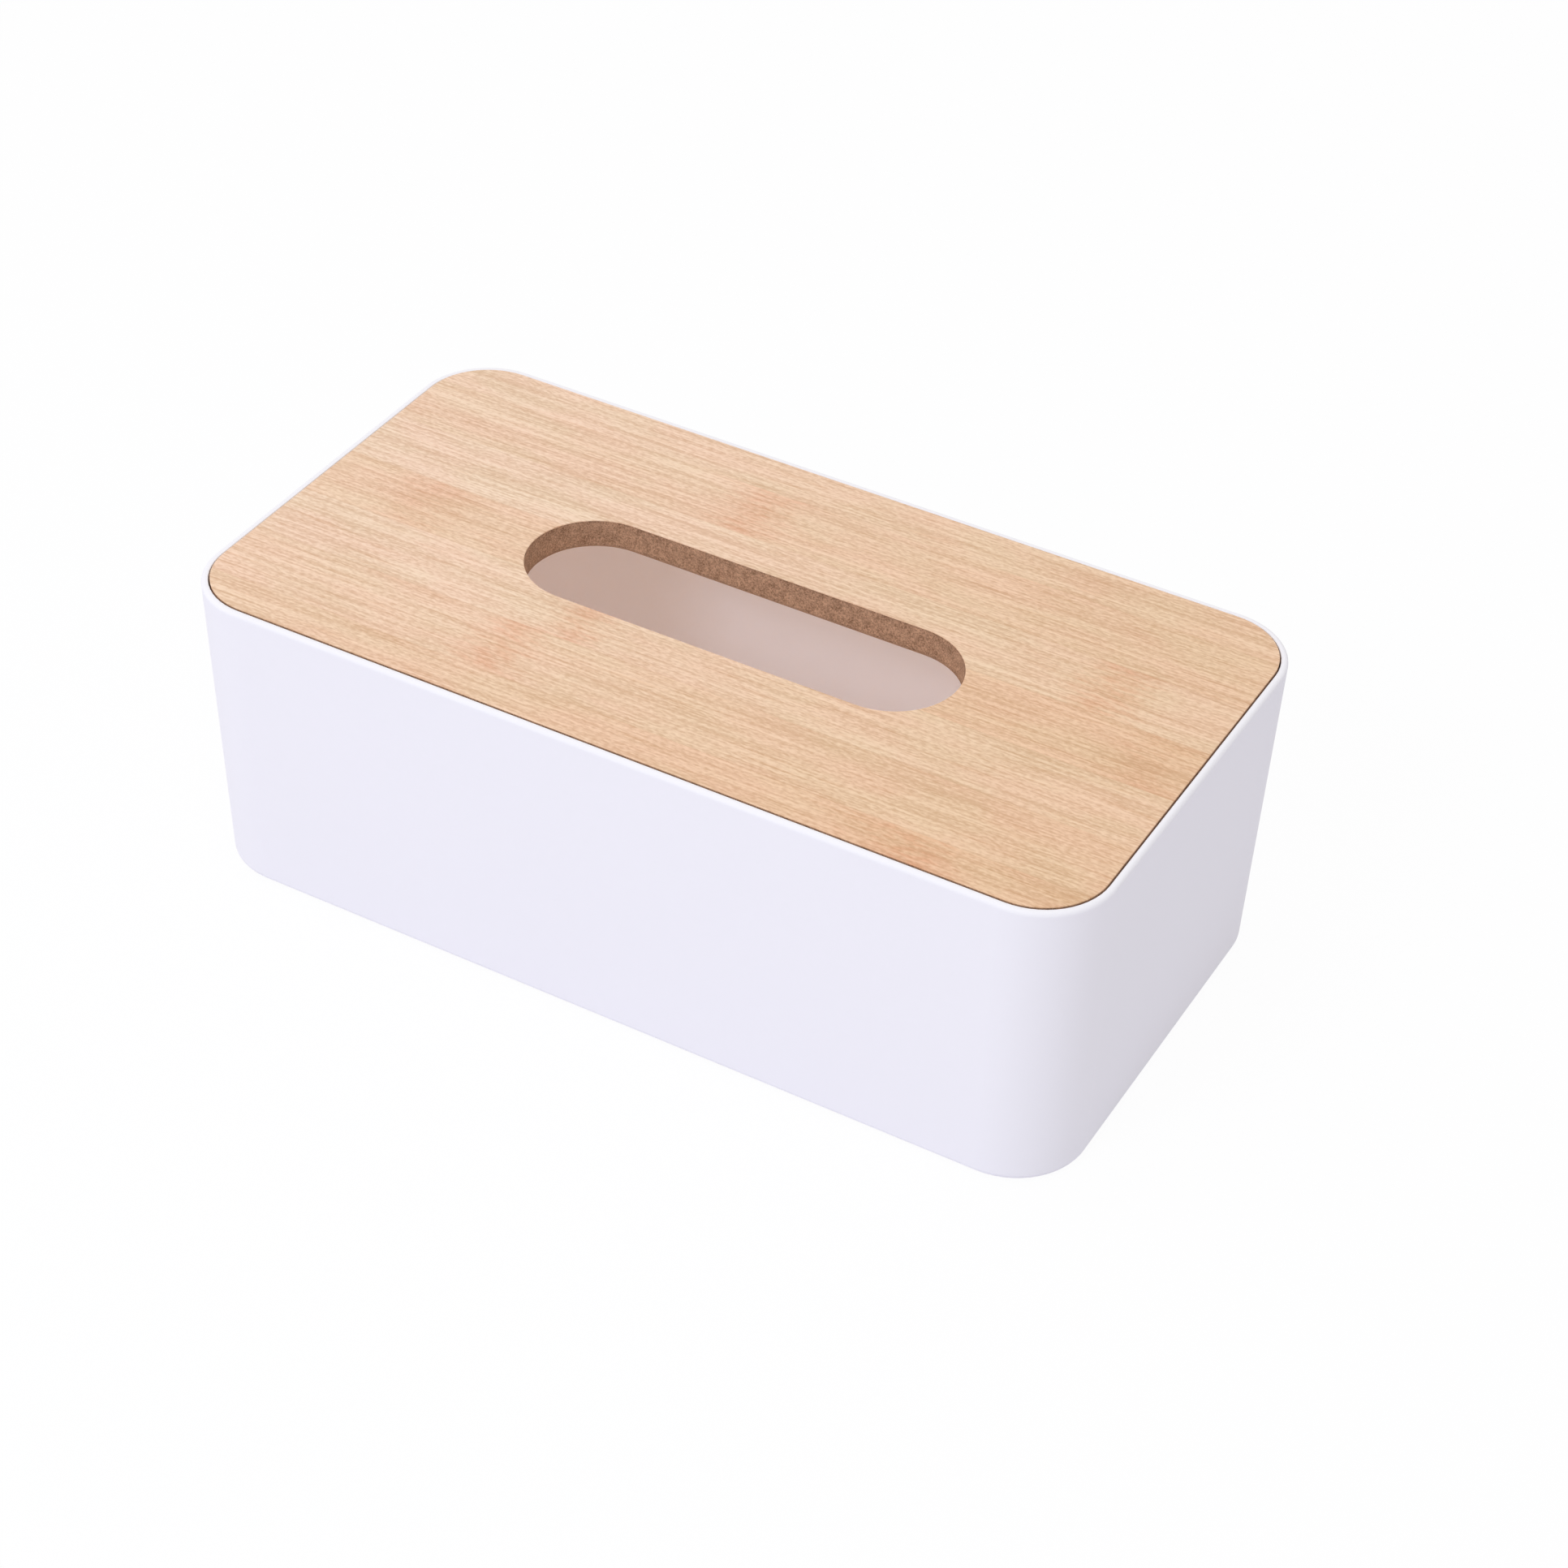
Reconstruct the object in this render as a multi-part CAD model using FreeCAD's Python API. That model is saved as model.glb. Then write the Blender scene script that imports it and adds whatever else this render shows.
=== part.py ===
import FreeCAD, Part
import math
import os

from FreeCAD import Vector

# Tissue box cover: a moulded plastic tub whose walls lean in towards the base, and a loose board
# lid that drops into the rim and rests on a step. Tissues are pulled out through the lid's slot.
# Millimetres. The origin is under the middle of the tub, on the surface that it stands on.
# X runs along the long side, -Y is the front and Z is up.

# Driving dimensions: the size over all, and the tub
LENGTH = 245.0
WIDTH = 130.0
HEIGHT = 85.0
CORNER_RADIUS = 19.2
END_LEAN = 1.8
SIDE_LEAN = 2.8
BASE_EDGE_RADIUS = 1.6
WALL = 3.0
FLOOR = 2.6
FLOOR_EDGE_RADIUS = 3.0

# The rim that surrounds the lid
RIM_WALL = 1.8
RIM_OUTER_RADIUS = 1.0
RIM_INNER_RADIUS = 0.3

# The lid: a fibreboard core with a bamboo veneer above and a backing sheet below
LID_RISE = 0.3
LID_GAP = 0.35
VENEER_THICKNESS = 0.3
CORE_THICKNESS = 7.2
BACKING_THICKNESS = 0.3
EDGE_EASE = 0.15

# The slot through the lid
SLOT_LENGTH = 118.0
SLOT_WIDTH = 35.6

# The non-slip pads under the base and the round seats that they are glued into
PAD_DIAMETER = 13.6
PAD_THICKNESS = 1.2
PAD_EDGE_RADIUS = 0.4
PAD_SEAT_DEPTH = 0.8
PAD_SEAT_CLEARANCE = 0.2
PAD_INSET = 20.0

# The shallow panel in the underside, and the mark of the moulding gate at its middle
PANEL_DEPTH = 0.6
PANEL_MARGIN = 5.0
PANEL_CORNER_RADIUS = 9.0
GATE_DIMPLE_DIAMETER = 10.0
GATE_DIMPLE_DEPTH = 0.5
GATE_NUB_DIAMETER = 2.4
GATE_NUB_HEIGHT = 0.3

# How far apart two places may be and still count as the same one
TOLERANCE = 1e-4

# Heights that follow from the driving dimensions
BASE_Z = PAD_THICKNESS - PAD_SEAT_DEPTH
FLOOR_Z = BASE_Z + FLOOR
RIM_Z = HEIGHT - LID_RISE
CORE_TOP_Z = HEIGHT - VENEER_THICKNESS
CORE_BOTTOM_Z = CORE_TOP_Z - CORE_THICKNESS
LEDGE_Z = CORE_BOTTOM_Z - BACKING_THICKNESS


def arc(centre, radius, start_deg, sweep_deg):
    """An arc about a vertical axis through centre."""
    points = []
    for share in (0.0, 0.5, 1.0):
        angle = math.radians(start_deg + share * sweep_deg)
        points.append(centre + Vector(radius * math.cos(angle), radius * math.sin(angle), 0))
    return Part.Arc(*points).toShape()


def joined(arcs):
    """A closed wire of these arcs, with a straight run from the end of each to the start of the next."""
    edges = []
    for here, following in zip(arcs, arcs[1:] + arcs[:1]):
        run = Part.LineSegment(here.lastVertex().Point, following.firstVertex().Point)
        edges += [here, run.toShape()]
    return Part.Wire(edges)


def rounded_rectangle(half_x, half_y, radius, z):
    """A closed wire at height z, centred on the Z axis."""
    corners = ((1, 1), (-1, 1), (-1, -1), (1, -1))
    arcs = []
    for number, (side_x, side_y) in enumerate(corners):
        centre = Vector(side_x * (half_x - radius), side_y * (half_y - radius), z)
        arcs.append(arc(centre, radius, 90 * number, 90))
    return joined(arcs)


def slot_outline(z):
    """The slot's outline at height z: two half circles joined by straight sides."""
    radius = SLOT_WIDTH / 2
    reach = SLOT_LENGTH / 2 - radius
    return joined([arc(Vector(reach, 0, z), radius, -90, 180), arc(Vector(-reach, 0, z), radius, 90, 180)])


def prism(wire, height):
    """The wire's face, raised by height."""
    return Part.Face(wire).extrude(Vector(0, 0, height))


def flat_edges(shape, z):
    """The edges of shape that lie flat at height z."""
    found = []
    for edge in shape.Edges:
        box = edge.BoundBox
        if abs(box.ZMin - z) < TOLERANCE and abs(box.ZMax - z) < TOLERANCE:
            found.append(edge)
    return found


def inside(edge, half_x, half_y):
    """Whether edge lies within a rectangle about the Z axis."""
    box = edge.BoundBox
    reach_x = max(box.XMax, -box.XMin)
    reach_y = max(box.YMax, -box.YMin)
    return reach_x < half_x + TOLERANCE and reach_y < half_y + TOLERANCE


def tub_outline(inset, z):
    """The tub's outside at height z, drawn in by inset: the walls lean in evenly from rim to base."""
    drop = (RIM_Z - z) / (RIM_Z - BASE_Z)
    half_x = LENGTH / 2 - END_LEAN * drop - inset
    half_y = WIDTH / 2 - SIDE_LEAN * drop - inset
    return rounded_rectangle(half_x, half_y, CORNER_RADIUS - inset, z)


def lid_outline(clearance, z):
    """The lid's outline at height z, let out by clearance."""
    inset = RIM_WALL + LID_GAP - clearance
    return rounded_rectangle(LENGTH / 2 - inset, WIDTH / 2 - inset, CORNER_RADIUS - inset, z)


def pad_centres():
    """The name and place of each pad, at the base's four corners."""
    reach_x = LENGTH / 2 - END_LEAN - PAD_INSET
    reach_y = WIDTH / 2 - SIDE_LEAN - PAD_INSET
    places = {}
    for end, side_x in (("left", -1), ("right", 1)):
        for face, side_y in (("front", -1), ("back", 1)):
            places[f"foot_pad_{face}_{end}"] = Vector(side_x * reach_x, side_y * reach_y, 0)
    return places


def make_outside():
    """The tub as a full block, with its base edge and the rim's outer edge rounded."""
    block = Part.makeLoft([tub_outline(0, BASE_Z), tub_outline(0, RIM_Z)], True, True)
    block = block.makeFillet(BASE_EDGE_RADIUS, flat_edges(block, BASE_Z))
    return block.makeFillet(RIM_OUTER_RADIUS, flat_edges(block, RIM_Z))


def make_cavity():
    """The room for the tissues, from the floor up to the step, with a rounded floor edge."""
    cavity = Part.makeLoft([tub_outline(WALL, FLOOR_Z), tub_outline(WALL, LEDGE_Z)], True, True)
    return cavity.makeFillet(FLOOR_EDGE_RADIUS, flat_edges(cavity, FLOOR_Z))


def make_underside_cuts():
    """What is sunk into the underside: the pad seats, the shallow panel and the gate's dimple."""
    seat_radius = PAD_DIAMETER / 2 + PAD_SEAT_CLEARANCE
    up = Vector(0, 0, 1)
    cuts = []
    for centre in pad_centres().values():
        cuts.append(Part.makeCylinder(seat_radius, PAD_SEAT_DEPTH, centre + up * BASE_Z, up))
    panel_inset = PAD_INSET + seat_radius + PANEL_MARGIN
    half_x = LENGTH / 2 - END_LEAN - panel_inset
    half_y = WIDTH / 2 - SIDE_LEAN - panel_inset
    cuts.append(prism(rounded_rectangle(half_x, half_y, PANEL_CORNER_RADIUS, BASE_Z), PANEL_DEPTH))
    panel_z = BASE_Z + PANEL_DEPTH
    dimple = Part.makeCylinder(GATE_DIMPLE_DIAMETER / 2, GATE_DIMPLE_DEPTH, up * panel_z, up)
    nub_z = panel_z + GATE_DIMPLE_DEPTH - GATE_NUB_HEIGHT
    nub = Part.makeCylinder(GATE_NUB_DIAMETER / 2, GATE_NUB_HEIGHT, up * nub_z, up)
    cuts.append(dimple.cut(nub))
    return cuts


def make_box_shell():
    """The one-piece moulded tub."""
    pocket = prism(lid_outline(LID_GAP, LEDGE_Z), RIM_Z - LEDGE_Z)
    shell = make_outside().cut([make_cavity(), pocket] + make_underside_cuts())
    rim_edges = flat_edges(shell, RIM_Z)
    inner = [edge for edge in rim_edges if inside(edge, LENGTH / 2 - RIM_WALL, WIDTH / 2 - RIM_WALL)]
    return shell.makeFillet(RIM_INNER_RADIUS, inner)


def make_lid_layer(bottom_z, thickness):
    """One layer of the lid, with the slot through it."""
    return prism(lid_outline(0, bottom_z), thickness).cut(prism(slot_outline(bottom_z), thickness))


def make_lid_veneer():
    """The bamboo face, with its top edges eased round the outside and round the slot."""
    sheet = make_lid_layer(CORE_TOP_Z, VENEER_THICKNESS)
    return sheet.makeFillet(EDGE_EASE, flat_edges(sheet, HEIGHT))


def make_foot_pad(centre):
    """A round non-slip pad with its lower edge rounded."""
    pad = Part.makeCylinder(PAD_DIAMETER / 2, PAD_THICKNESS, centre)
    return pad.makeFillet(PAD_EDGE_RADIUS, flat_edges(pad, 0))


def make_parts():
    """Every piece by its node's name."""
    parts = {
        "box_shell": make_box_shell(),
        "lid_core": make_lid_layer(CORE_BOTTOM_Z, CORE_THICKNESS),
        "lid_veneer": make_lid_veneer(),
        "lid_backing": make_lid_layer(LEDGE_Z, BACKING_THICKNESS),
    }
    for name, centre in pad_centres().items():
        parts[name] = make_foot_pad(centre)
    return parts


def main():
    os.makedirs("parts", exist_ok=True)
    for name, shape in make_parts().items():
        print(f"{name}: {len(shape.Solids)} solid, valid {shape.isValid()}, {shape.Volume:.0f} mm3")
        shape.exportStep(f"parts/{name}.step")


main()
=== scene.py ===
import math

import bpy
from mathutils import Matrix, Vector


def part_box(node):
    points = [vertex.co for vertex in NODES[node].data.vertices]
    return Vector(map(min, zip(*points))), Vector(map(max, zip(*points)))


# The looks of a tissue box cover: matt white tub, bamboo-faced fibreboard lid, rubber pads.
# Metres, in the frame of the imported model. Texture sizes are in millimetres of the real surface.
# A value named SHADE, SHINE, PINK or YELLOW is a factor on the colour under it.

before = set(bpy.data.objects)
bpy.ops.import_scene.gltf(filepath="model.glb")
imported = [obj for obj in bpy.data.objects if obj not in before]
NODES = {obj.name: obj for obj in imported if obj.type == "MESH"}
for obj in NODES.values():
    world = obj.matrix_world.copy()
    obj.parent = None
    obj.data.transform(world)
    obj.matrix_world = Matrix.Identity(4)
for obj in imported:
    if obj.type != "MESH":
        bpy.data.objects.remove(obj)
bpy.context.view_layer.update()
MM_PER_M = 1000.0

# Camera, fitted to the photograph: its angles, what it looks at, and its focal length
CAMERA_AZIMUTH = math.radians(28.17)
CAMERA_ELEVATION = math.radians(38.22)
CAMERA_ROLL = math.radians(2.27)
CAMERA_TARGET = Vector((0.01367, 0.0, 0.03784))
CAMERA_DISTANCE = 0.88824
CAMERA_LENS_MM = 82.03
CAMERA_SENSOR_MM = 36.0
CAMERA_CLIP_START = 0.01

# Light: a soft sky that is brightest high on the left, and a lamp in front and a little to the left
SKY_AZIMUTH = math.radians(-82.0)
SKY_ELEVATION = math.radians(50.0)
SKY_BRIGHT = 0.943
SKY_DIM = 0.523
SKY_COLOUR = (0.963, 0.942, 0.963)
LAMP_AZIMUTH = math.radians(-12.0)
LAMP_ELEVATION = math.radians(42.0)
LAMP_DISTANCE = 1.4
LAMP_SIZE = 0.45
LAMP_POWER = 3.38
LAMP_COLOUR = (0.90, 0.97, 1.15)

# How often light bounces: often enough to light the inside of the white tub through the slot
LIGHT_BOUNCES = 80

# What the camera sees of the floor and the sky
BACKGROUND = (1.0, 1.0, 1.0)

# Floor: half its side, how far it lies under the pads, its colour for the light that bounces, and how much of
# what the camera sees is its own glow
FLOOR_HALF = 4.0
FLOOR_DROP = 0.0001
FLOOR_BOUNCE = (0.75, 0.74, 0.82)
FLOOR_GLOW = 0.94

# Noise: how many finer layers it has and how strong they are, and the stretch of its values, from 0 to 1,
# that a change of colour or of gloss is spread over
FEW_LAYERS = 1.0
SOME_LAYERS = 2.0
MANY_LAYERS = 3.0
PLAIN_LAYER_STRENGTH = 0.5
COLOUR_STRETCH = (0.3, 0.7)
GLOSS_STRETCH = (0.2, 0.8)

# White plastic: faint clouds of tone, and the grain of its surface
PLASTIC_COLOUR = (0.995, 0.989, 0.999)
PLASTIC_SHADE = 0.995
PLASTIC_CLOUD_MM = 70.0
PLASTIC_GRAIN_MM = 0.35
PLASTIC_GRAIN_DEPTH_MM = 0.008
PLASTIC_GRAIN_STRENGTH = 0.35
PLASTIC_ROUGHNESS = (0.66, 0.76)
PLASTIC_IOR = 1.46

# Bamboo: its colour at the left end and the right end of the lid, and how far from the middle it changes
BAMBOO_LEFT = (0.945, 0.686, 0.479)
BAMBOO_RIGHT = (0.884, 0.612, 0.386)
BAMBOO_DRIFT_MM = 115.0

# The bamboo's streaks: how long and how wide, coarse ones first, and how much each sort counts
STREAKS_MM = (
    (300.0, 9.0, 0.12),
    (90.0, 3.5, 0.20),
    (60.0, 1.4, 0.45),
    (40.0, 0.8, 0.70),
    (20.0, 0.6, 0.32),
    (1.6, 0.6, 0.95),
)
MIDDLE_TONE = 0.5
TONE_STRETCH = (0.15, 0.85)
STREAK_SHADE = (0.84, 0.77, 0.70)
STREAK_SHINE = (1.10, 1.13, 1.17)

# The bamboo's surface: its roughness in the dark streaks and in the light ones, and the relief of the streaks
BAMBOO_ROUGHNESS = (0.50, 0.38)
BAMBOO_GRAIN_DEPTH_MM = 0.02
BAMBOO_GRAIN_STRENGTH = 0.4

# Short dark lines in the bamboo
LINE_MM = (16.0, 0.55)
LINE_STRETCH = (0.55, 0.70)
LINE_CLUSTER_MM = (40.0, 8.0)
LINE_CLUSTERING = 0.3
LINE_SHADE = (0.925, 0.875, 0.820)

# The strips that the bamboo is laid in: the place of one joint, how far along the wood each next strip is
# cut, the seed of their lightness, the darkest and the lightest that one may be, and the line at a joint
STRIP_JOINT_MM = 8.8
STRIP_WIDTH_MM = 20.4
STRIP_SHIFT_MM = 137.0
STRIP_SEED = 5524
STRIP_SHADE = (0.985, 0.955, 0.925)
STRIP_SHINE = (1.012, 1.040, 1.070)
JOINT_LINE_MM = 0.6
JOINT_SHADE = (0.955, 0.930, 0.900)

# Slow changes of hue in the bamboo
HUE_MM = (26.0, 10.0)
HUE_PINK = (1.014, 0.986, 0.991)
HUE_YELLOW = (0.986, 1.013, 0.990)

# The bamboo's knuckles: middle along the lid, number of the strip, half length and strength. Strip numbers
# that differ by less than SAME_STRIP are the same. A wave along the grain makes the ends ragged.
KNUCKLES = (
    (-90.0, -1, 16.0, 0.5),
    (-18.0, 1, 14.0, 0.85),
    (-42.0, -3, 12.0, 0.9),
    (-31.0, -2, 11.0, 0.9),
    (90.0, 0, 14.0, 1.0),
    (110.0, -1, 16.0, 0.45),
    (76.0, -4, 20.0, 1.0),
)
SAME_STRIP = 0.5
KNUCKLE_SHADE = (0.938, 0.785, 0.718)
KNUCKLE_STREAK_MM = (7.0, 1.3)
KNUCKLE_WAVE_REACH_MM = 9.0
KNUCKLE_FLECK_MM = (4.0, 1.3)
KNUCKLE_FLECK_STRENGTH = (0.4, 1.05)

# Fibreboard: matted fibres in clumps, and a darker band at both faces: the board's denser skin, and painted
# shade where the veneer and the backing meet it
BOARD_DARK = (0.215, 0.119, 0.067)
BOARD_LIGHT = (0.690, 0.434, 0.279)
BOARD_FIBRE_MM = 0.4
BOARD_FIBRE_LAYER_STRENGTH = 0.7
BOARD_FIBRE_SHARE = 0.78
BOARD_FIBRE_DEPTH_MM = 0.06
BOARD_FIBRE_STRENGTH = 0.6
BOARD_CLUMP_MM = 2.5
BOARD_SKIN_AND_SHADE_MM = 0.7
BOARD_SKIN_AND_PAINTED_SHADE = (0.80, 0.80, 0.80)
BOARD_ROUGHNESS = 0.88
BOARD_SPECULAR = 0.25

# Backing sheet: streaks and flecks, and its cut edges, where the surface's normal lies flat
BACKING_DARK = (0.950, 0.885, 0.785)
BACKING_LIGHT = (0.980, 0.935, 0.855)
BACKING_STREAK_MM = (25.0, 1.5)
BACKING_STREAK_SHARE = 0.6
BACKING_FLECK_MM = (0.8, 0.5)
BACKING_FLECK_DEPTH_MM = 0.03
BACKING_FLECK_STRENGTH = 0.5
BACKING_EDGE = (0.400, 0.240, 0.145)
BACKING_EDGE_STRETCH = (0.4, 0.6)
BACKING_ROUGHNESS = 0.8

# Rubber
RUBBER_DARK = (0.15, 0.15, 0.155)
RUBBER_LIGHT = (0.21, 0.21, 0.215)
RUBBER_PEBBLE_MM = 0.5
RUBBER_PEBBLE_DEPTH_MM = 0.08
RUBBER_PEBBLE_STRENGTH = 0.7
RUBBER_ROUGHNESS = 0.75

# The mix node's sockets for colours, which share their names with those for numbers
MIX_SHARE = 0
MIX_FIRST = 6
MIX_SECOND = 7
MIX_RESULT = 2


def add(tree, kind, inputs=None, **settings):
    """Adds a node. inputs maps its sockets to values, or to the sockets that feed them."""
    made = tree.nodes.new(kind)
    for key, value in settings.items():
        setattr(made, key, value)
    for key, value in (inputs or {}).items():
        if isinstance(value, bpy.types.NodeSocket):
            tree.links.new(value, made.inputs[key])
        else:
            made.inputs[key].default_value = value
    return made


def calc(tree, operation, *values):
    """A sum on numbers, as a socket."""
    return add(tree, "ShaderNodeMath", dict(enumerate(values)), operation=operation).outputs[0]


def blended(tree, first, second, first_share):
    """Two numbers added, each by its share of the whole."""
    second_part = calc(tree, "MULTIPLY", second, 1.0 - first_share)
    return calc(tree, "MULTIPLY_ADD", first, first_share, second_part)


def on_axis(tree, vector, axis):
    """One of a vector's three numbers."""
    return add(tree, "ShaderNodeSeparateXYZ", {0: vector}).outputs[axis]


def place_mm(tree):
    """The place on the object, in millimetres in the model's frame."""
    point = add(tree, "ShaderNodeTexCoord").outputs["Object"]
    scaled = add(tree, "ShaderNodeVectorMath", {0: point, "Scale": MM_PER_M}, operation="SCALE")
    return scaled.outputs[0]


def noise(tree, place, sizes, layers, layer_strength):
    """Smooth noise from 0 to 1, with lumps of these sizes along the three axes."""
    factors = tuple(1.0 / size for size in sizes)
    unit_place = add(tree, "ShaderNodeVectorMath", {0: place, 1: factors}, operation="MULTIPLY").outputs[0]
    inputs = {"Vector": unit_place, "Scale": 1.0, "Detail": layers, "Roughness": layer_strength}
    return add(tree, "ShaderNodeTexNoise", inputs).outputs["Fac"]


def lumps(tree, place, size, layers=SOME_LAYERS, layer_strength=PLAIN_LAYER_STRENGTH):
    """Noise with lumps of one size in every direction."""
    return noise(tree, place, (size, size, size), layers, layer_strength)


def streaks(tree, place, size, layers=SOME_LAYERS):
    """Noise with lumps drawn out along the lid, of this length and width."""
    length, width = size
    return noise(tree, place, (length, width, length), layers, PLAIN_LAYER_STRENGTH)


def between(tree, value, stretch, results=(0.0, 1.0)):
    """value, eased from the first result at the stretch's start to the second at its end."""
    inputs = {"Value": value, "From Min": stretch[0], "From Max": stretch[1]}
    inputs.update({"To Min": results[0], "To Max": results[1]})
    return add(tree, "ShaderNodeMapRange", inputs, interpolation_type="SMOOTHSTEP").outputs["Result"]


def opaque(colour):
    """A colour of three numbers with its alpha, or a socket as it is."""
    return colour if isinstance(colour, bpy.types.NodeSocket) else (*colour, 1.0)


def mixed(tree, share, first, second, blend="MIX"):
    """Two colours mixed by share."""
    inputs = {MIX_SHARE: share, MIX_FIRST: opaque(first), MIX_SECOND: opaque(second)}
    return add(tree, "ShaderNodeMix", inputs, data_type="RGBA", blend_type=blend).outputs[MIX_RESULT]


def tinted(tree, colour, tint, share=1.0):
    """colour times tint, as far as share goes."""
    return mixed(tree, share, colour, tint, "MULTIPLY")


def relief(tree, height, depth_mm, strength):
    """A bumped normal from a height of 0 to 1 that stands for depth_mm."""
    inputs = {"Height": height, "Distance": depth_mm / MM_PER_M, "Strength": strength}
    return add(tree, "ShaderNodeBump", inputs).outputs["Normal"]


def new_material(name):
    """A new material, its node tree and its principled shader."""
    material = bpy.data.materials.new(name)
    material.use_nodes = True
    tree = material.node_tree
    return material, tree, tree.nodes["Principled BSDF"]


def feed(tree, shader, **sockets):
    """Links sockets to the shader's inputs, whose names have spaces for underscores."""
    for key, socket in sockets.items():
        tree.links.new(socket, shader.inputs[key.replace("_", " ")])


def plastic_material():
    """Matt white plastic with the fine grain of an etched mould."""
    material, tree, shader = new_material("tub_plastic")
    place = place_mm(tree)
    cloud = lumps(tree, place, PLASTIC_CLOUD_MM)
    grain = lumps(tree, place, PLASTIC_GRAIN_MM, FEW_LAYERS)
    shaded = tuple(channel * PLASTIC_SHADE for channel in PLASTIC_COLOUR)
    feed(
        tree, shader,
        Base_Color=mixed(tree, between(tree, cloud, COLOUR_STRETCH), shaded, PLASTIC_COLOUR),
        Roughness=between(tree, grain, GLOSS_STRETCH, PLASTIC_ROUGHNESS),
        Normal=relief(tree, grain, PLASTIC_GRAIN_DEPTH_MM, PLASTIC_GRAIN_STRENGTH),
    )
    shader.inputs["IOR"].default_value = PLASTIC_IOR
    return material


def bamboo_strips(tree, place):
    """The number of the strip at each place, the place in that strip's own wood, and 1 on the joints."""
    from_joint = calc(tree, "SUBTRACT", on_axis(tree, place, "Y"), STRIP_JOINT_MM)
    number = calc(tree, "FLOOR", calc(tree, "DIVIDE", from_joint, STRIP_WIDTH_MM))
    along = calc(tree, "MULTIPLY", number, STRIP_SHIFT_MM)
    shift = add(tree, "ShaderNodeCombineXYZ", {"X": along}).outputs[0]
    own_place = add(tree, "ShaderNodeVectorMath", {0: place, 1: shift}, operation="ADD").outputs[0]
    to_nearest = calc(tree, "PINGPONG", from_joint, STRIP_WIDTH_MM / 2)
    return number, own_place, between(tree, to_nearest, (0.0, JOINT_LINE_MM), (1.0, 0.0))


def bamboo_ground(tree, place, strip, joint):
    """The colour before the grain: darker and warmer to the right, with a lightness for each strip."""
    reach = (-BAMBOO_DRIFT_MM, BAMBOO_DRIFT_MM)
    drift = between(tree, on_axis(tree, place, "X"), reach)
    colour = mixed(tree, drift, BAMBOO_LEFT, BAMBOO_RIGHT)
    inputs = {"W": calc(tree, "ADD", strip, STRIP_SEED)}
    lightness = add(tree, "ShaderNodeTexWhiteNoise", inputs, noise_dimensions="1D").outputs["Value"]
    colour = tinted(tree, colour, mixed(tree, lightness, STRIP_SHADE, STRIP_SHINE))
    return tinted(tree, colour, JOINT_SHADE, joint)


def bamboo_tone(tree, place):
    """How light the grain is, about MIDDLE_TONE on the whole."""
    tone = MIDDLE_TONE
    for length, width, weight in STREAKS_MM:
        streak = streaks(tree, place, (length, width), FEW_LAYERS)
        tone = calc(tree, "ADD", tone, calc(tree, "MULTIPLY_ADD", streak, weight, -weight / 2))
    return tone


def bamboo_lines(tree, place):
    """Where the short dark lines are, closer together in some stretches than in others."""
    lines = streaks(tree, place, LINE_MM, FEW_LAYERS)
    cluster = streaks(tree, place, LINE_CLUSTER_MM)
    shift = calc(tree, "MULTIPLY_ADD", cluster, LINE_CLUSTERING, -LINE_CLUSTERING / 2)
    return between(tree, calc(tree, "ADD", lines, shift), LINE_STRETCH)


def bamboo_knuckles(tree, place, strip):
    """Where the knuckles are, by strength: ragged along the grain, flecked, and each across one strip."""
    wave = streaks(tree, place, KNUCKLE_STREAK_MM)
    shift = calc(tree, "MULTIPLY_ADD", wave, 2 * KNUCKLE_WAVE_REACH_MM, -KNUCKLE_WAVE_REACH_MM)
    along = calc(tree, "ADD", on_axis(tree, place, "X"), shift)
    found = 0.0
    for middle, number, half_length, strength in KNUCKLES:
        reach = calc(tree, "ABSOLUTE", calc(tree, "SUBTRACT", along, middle))
        near = between(tree, reach, (0.0, half_length), (strength, 0.0))
        in_strip = calc(tree, "COMPARE", strip, number, SAME_STRIP)
        found = calc(tree, "MAXIMUM", found, calc(tree, "MULTIPLY", near, in_strip))
    flecks = streaks(tree, place, KNUCKLE_FLECK_MM)
    return calc(tree, "MULTIPLY", found, between(tree, flecks, COLOUR_STRETCH, KNUCKLE_FLECK_STRENGTH))


def bamboo_material():
    """Satin bamboo veneer, laid in strips: fine streaks, short dark lines and knuckles."""
    material, tree, shader = new_material("bamboo_veneer")
    place = place_mm(tree)
    strip, own_place, joint = bamboo_strips(tree, place)
    tone = bamboo_tone(tree, own_place)
    hue = streaks(tree, own_place, HUE_MM)
    colour = bamboo_ground(tree, place, strip, joint)
    colour = tinted(tree, colour, mixed(tree, between(tree, tone, TONE_STRETCH), STREAK_SHADE, STREAK_SHINE))
    colour = tinted(tree, colour, LINE_SHADE, bamboo_lines(tree, own_place))
    colour = tinted(tree, colour, mixed(tree, between(tree, hue, COLOUR_STRETCH), HUE_PINK, HUE_YELLOW))
    feed(
        tree, shader,
        Base_Color=tinted(tree, colour, KNUCKLE_SHADE, bamboo_knuckles(tree, place, strip)),
        Roughness=between(tree, tone, GLOSS_STRETCH, BAMBOO_ROUGHNESS),
        Normal=relief(tree, tone, BAMBOO_GRAIN_DEPTH_MM, BAMBOO_GRAIN_STRENGTH),
    )
    return material


def board_skin_and_painted_shade(tree, place):
    """Where the board's faces are darkened, by its denser skin and by painted shade next to the veneer and
    the backing: 1 at its two faces and 0 further in.
    """
    low, high = (corner.z * MM_PER_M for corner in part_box("lid_core"))
    from_middle = calc(tree, "ABSOLUTE", calc(tree, "SUBTRACT", on_axis(tree, place, "Z"), (low + high) / 2))
    face = (high - low) / 2
    return between(tree, from_middle, (face - BOARD_SKIN_AND_SHADE_MM, face))


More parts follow.
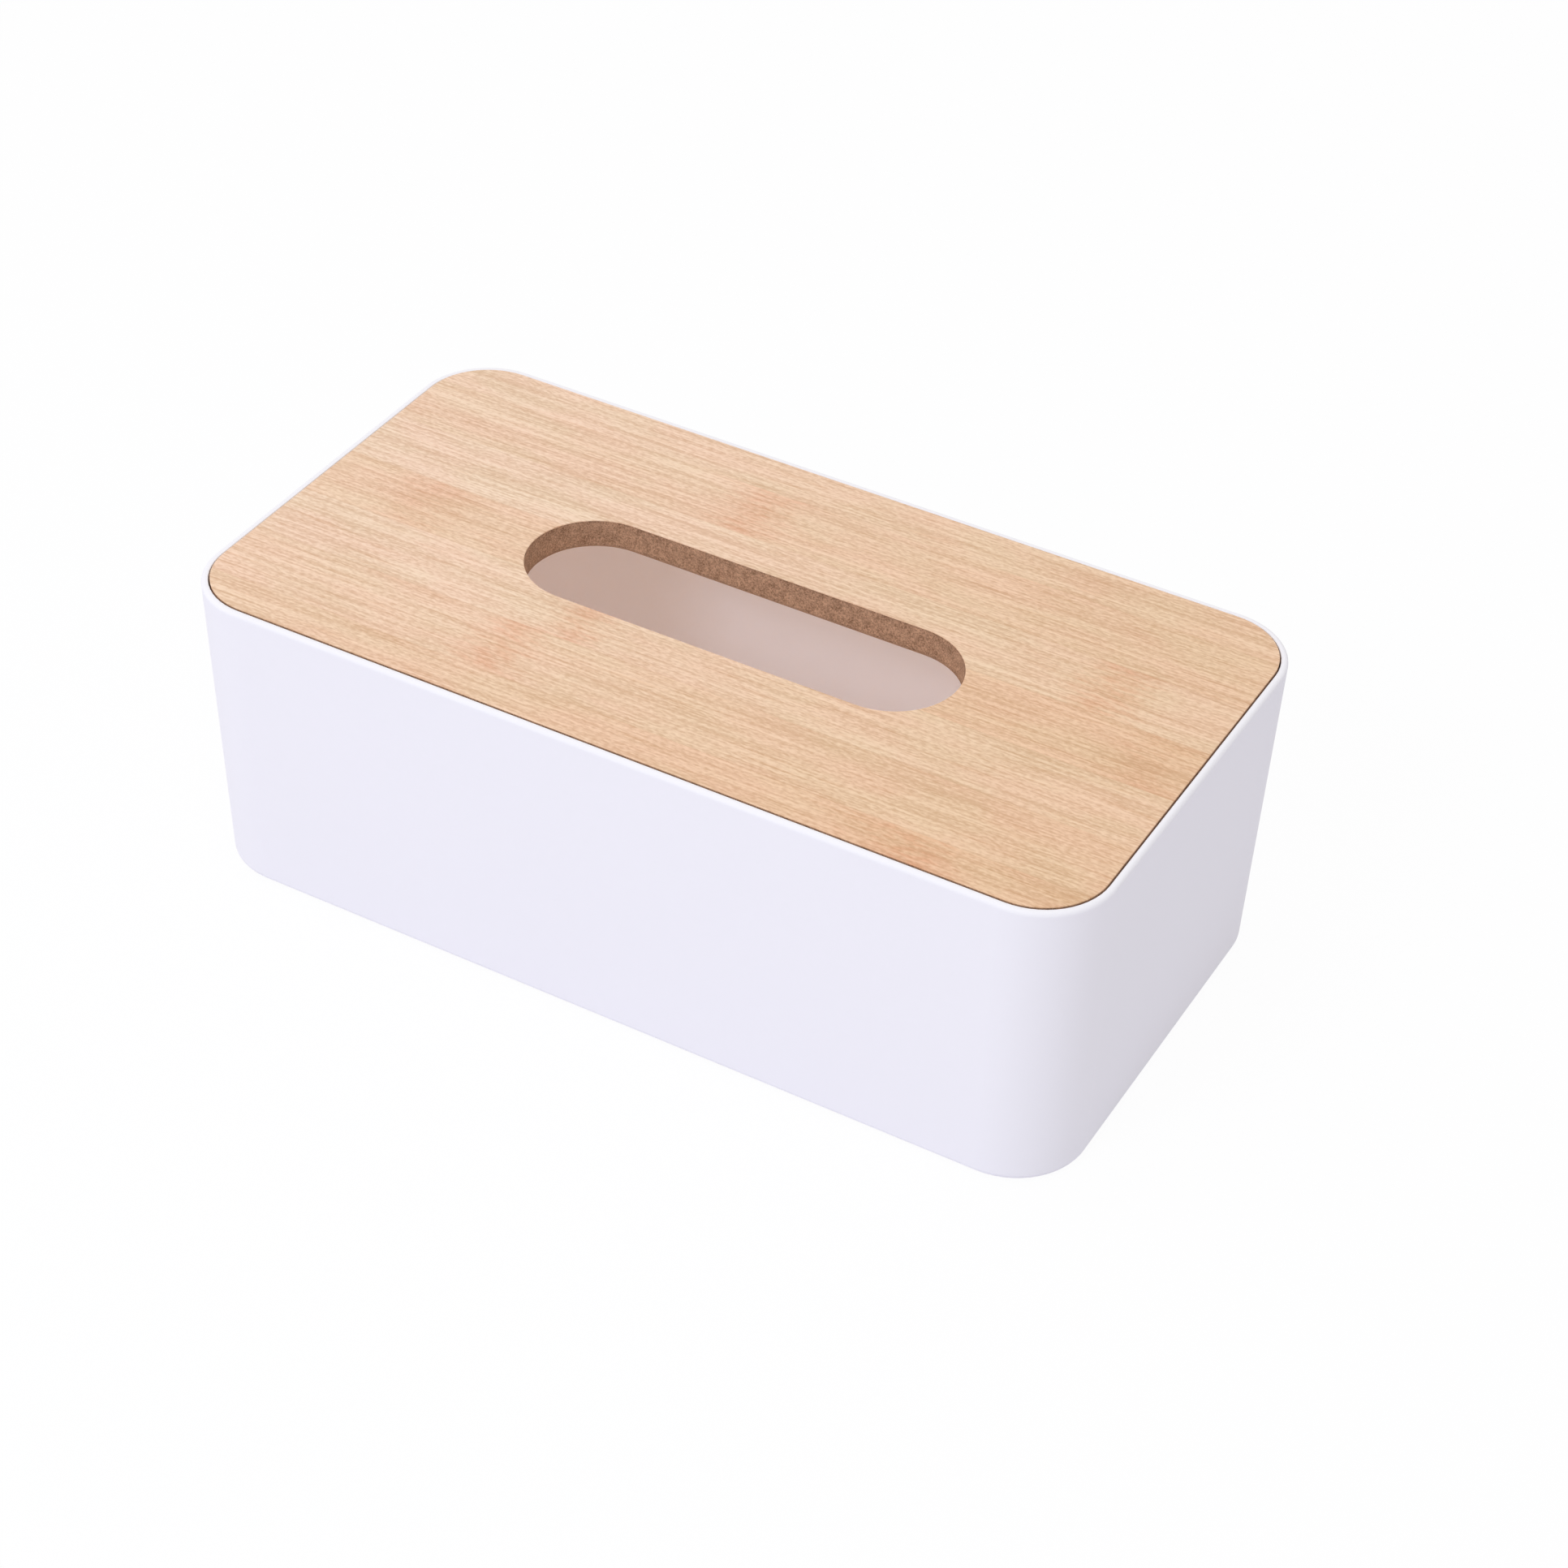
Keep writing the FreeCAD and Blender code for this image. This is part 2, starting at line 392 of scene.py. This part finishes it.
def board_material():
    """Raw fibreboard: matted fibres, darker at both faces, partly for its denser skin and partly as painted
    shade next to the veneer and the backing.
    """
    material, tree, shader = new_material("fibreboard")
    place = place_mm(tree)
    fibres = lumps(tree, place, BOARD_FIBRE_MM, MANY_LAYERS, BOARD_FIBRE_LAYER_STRENGTH)
    clumps = lumps(tree, place, BOARD_CLUMP_MM)
    tone = blended(tree, fibres, clumps, BOARD_FIBRE_SHARE)
    colour = mixed(tree, between(tree, tone, COLOUR_STRETCH), BOARD_DARK, BOARD_LIGHT)
    feed(
        tree, shader,
        # The darker band at both faces is partly the board's denser skin and partly painted shade under the
        # veneer and over the backing.
        Base_Color=tinted(tree, colour, BOARD_SKIN_AND_PAINTED_SHADE, board_skin_and_painted_shade(tree, place)),
        Normal=relief(tree, fibres, BOARD_FIBRE_DEPTH_MM, BOARD_FIBRE_STRENGTH),
    )
    shader.inputs["Roughness"].default_value = BOARD_ROUGHNESS
    shader.inputs["Specular IOR Level"].default_value = BOARD_SPECULAR
    return material


def backing_material():
    """The pale balancing sheet under the lid, faintly streaked along its length, with brown cut edges."""
    material, tree, shader = new_material("backing_sheet")
    place = place_mm(tree)
    streak = streaks(tree, place, BACKING_STREAK_MM)
    flecks = streaks(tree, place, BACKING_FLECK_MM, MANY_LAYERS)
    tone = blended(tree, streak, flecks, BACKING_STREAK_SHARE)
    face = mixed(tree, between(tree, tone, COLOUR_STRETCH), BACKING_DARK, BACKING_LIGHT)
    normal = add(tree, "ShaderNodeTexCoord").outputs["Normal"]
    upright = calc(tree, "ABSOLUTE", on_axis(tree, normal, "Z"))
    feed(
        tree, shader,
        Base_Color=mixed(tree, between(tree, upright, BACKING_EDGE_STRETCH), BACKING_EDGE, face),
        Normal=relief(tree, flecks, BACKING_FLECK_DEPTH_MM, BACKING_FLECK_STRENGTH),
    )
    shader.inputs["Roughness"].default_value = BACKING_ROUGHNESS
    return material


def rubber_material():
    """Grey non-slip rubber with a pebbled skin."""
    material, tree, shader = new_material("pad_rubber")
    pebbles = lumps(tree, place_mm(tree), RUBBER_PEBBLE_MM)
    feed(
        tree, shader,
        Base_Color=mixed(tree, between(tree, pebbles, COLOUR_STRETCH), RUBBER_DARK, RUBBER_LIGHT),
        Normal=relief(tree, pebbles, RUBBER_PEBBLE_DEPTH_MM, RUBBER_PEBBLE_STRENGTH),
    )
    shader.inputs["Roughness"].default_value = RUBBER_ROUGHNESS
    return material


def finish_nodes():
    """Gives each CAD node its material."""
    pads = [name for name in NODES if name.startswith("foot_pad")]
    finishes = (
        (plastic_material(), ["box_shell"]),
        (bamboo_material(), ["lid_veneer"]),
        (board_material(), ["lid_core"]),
        (backing_material(), ["lid_backing"]),
        (rubber_material(), pads),
    )
    for material, names in finishes:
        for name in names:
            mesh = NODES[name].data
            mesh.materials.clear()
            mesh.materials.append(material)


def seen_directly(tree):
    """1 for what the camera sees, straight or in a reflection, and 0 for light that bounces."""
    path = add(tree, "ShaderNodeLightPath").outputs
    mirrored = calc(tree, "MAXIMUM", path["Is Glossy Ray"], path["Is Transmission Ray"])
    return calc(tree, "MAXIMUM", path["Is Camera Ray"], mirrored)


def floor_material():
    """A pale surface, white to the camera, which keeps the object's shadow."""
    material = bpy.data.materials.new("floor")
    material.use_nodes = True
    tree = material.node_tree
    tree.nodes.clear()
    seen = seen_directly(tree)
    colour = mixed(tree, seen, FLOOR_BOUNCE, BACKGROUND)
    lit = add(tree, "ShaderNodeBsdfDiffuse", {"Color": colour}).outputs[0]
    glow = add(tree, "ShaderNodeEmission", {"Color": opaque(BACKGROUND)}).outputs[0]
    share = calc(tree, "MULTIPLY", seen, FLOOR_GLOW)
    surface = add(tree, "ShaderNodeMixShader", {0: share, 1: lit, 2: glow}).outputs[0]
    add(tree, "ShaderNodeOutputMaterial", {"Surface": surface})
    return material


def make_floor():
    """A plain square floor, just under the pads."""
    mesh = bpy.data.meshes.new("floor")
    sides = ((-1, -1), (1, -1), (1, 1), (-1, 1))
    corners = [(x * FLOOR_HALF, y * FLOOR_HALF, -FLOOR_DROP) for x, y in sides]
    mesh.from_pydata(corners, [], [range(len(corners))])
    mesh.materials.append(floor_material())
    floor = bpy.data.objects.new("floor", mesh)
    bpy.context.scene.collection.objects.link(floor)


def direction(azimuth, elevation):
    """The way from the object to a thing at this azimuth and elevation."""
    flat = math.cos(elevation)
    return Vector((math.sin(azimuth) * flat, -math.cos(azimuth) * flat, math.sin(elevation)))


def make_sky():
    """A soft sky, brightest in one direction, which the camera sees as white."""
    world = bpy.data.worlds.new("sky")
    world.use_nodes = True
    tree = world.node_tree
    tree.nodes.clear()
    way = add(tree, "ShaderNodeTexCoord").outputs["Generated"]
    inputs = {0: way, 1: direction(SKY_AZIMUTH, SKY_ELEVATION)}
    nearness = add(tree, "ShaderNodeVectorMath", inputs, operation="DOT_PRODUCT").outputs["Value"]
    middle = (SKY_BRIGHT + SKY_DIM) / 2
    glow = calc(tree, "MULTIPLY_ADD", nearness, SKY_BRIGHT - middle, middle)
    seen = seen_directly(tree)
    colour = mixed(tree, seen, SKY_COLOUR, BACKGROUND)
    strength = calc(tree, "MAXIMUM", glow, seen)
    sky = add(tree, "ShaderNodeBackground", {"Color": colour, "Strength": strength}).outputs[0]
    add(tree, "ShaderNodeOutputWorld", {"Surface": sky})
    bpy.context.scene.world = world


def make_lamp():
    """One soft lamp, aimed at the object."""
    light = bpy.data.lights.new("lamp", "AREA")
    light.shape = "DISK"
    light.size = LAMP_SIZE
    light.energy = LAMP_POWER
    light.color = LAMP_COLOUR
    lamp = bpy.data.objects.new("lamp", light)
    towards = direction(LAMP_AZIMUTH, LAMP_ELEVATION)
    lamp.location = CAMERA_TARGET + towards * LAMP_DISTANCE
    lamp.rotation_euler = towards.to_track_quat("Z", "Y").to_euler()
    bpy.context.scene.collection.objects.link(lamp)


def make_camera():
    """The photograph's camera."""
    data = bpy.data.cameras.new("camera")
    data.sensor_width = CAMERA_SENSOR_MM
    data.lens = CAMERA_LENS_MM
    data.clip_start = CAMERA_CLIP_START
    camera = bpy.data.objects.new("camera", data)
    back = direction(CAMERA_AZIMUTH, CAMERA_ELEVATION)
    level = Vector((math.cos(CAMERA_AZIMUTH), math.sin(CAMERA_AZIMUTH), 0.0))
    turn = Matrix.Rotation(CAMERA_ROLL, 3, back)
    right = turn @ level
    up = turn @ back.cross(level)
    rotation = Matrix((right, up, back)).transposed()
    camera.matrix_world = Matrix.Translation(CAMERA_TARGET + back * CAMERA_DISTANCE) @ rotation.to_4x4()
    bpy.context.scene.collection.objects.link(camera)
    bpy.context.scene.camera = camera


def set_up_render():
    """Plain colours, and light that bounces often."""
    scene = bpy.context.scene
    scene.view_settings.view_transform = "Standard"
    scene.cycles.max_bounces = LIGHT_BOUNCES
    scene.cycles.diffuse_bounces = LIGHT_BOUNCES
    scene.cycles.glossy_bounces = LIGHT_BOUNCES


finish_nodes()
make_floor()
make_sky()
make_lamp()
make_camera()
set_up_render()
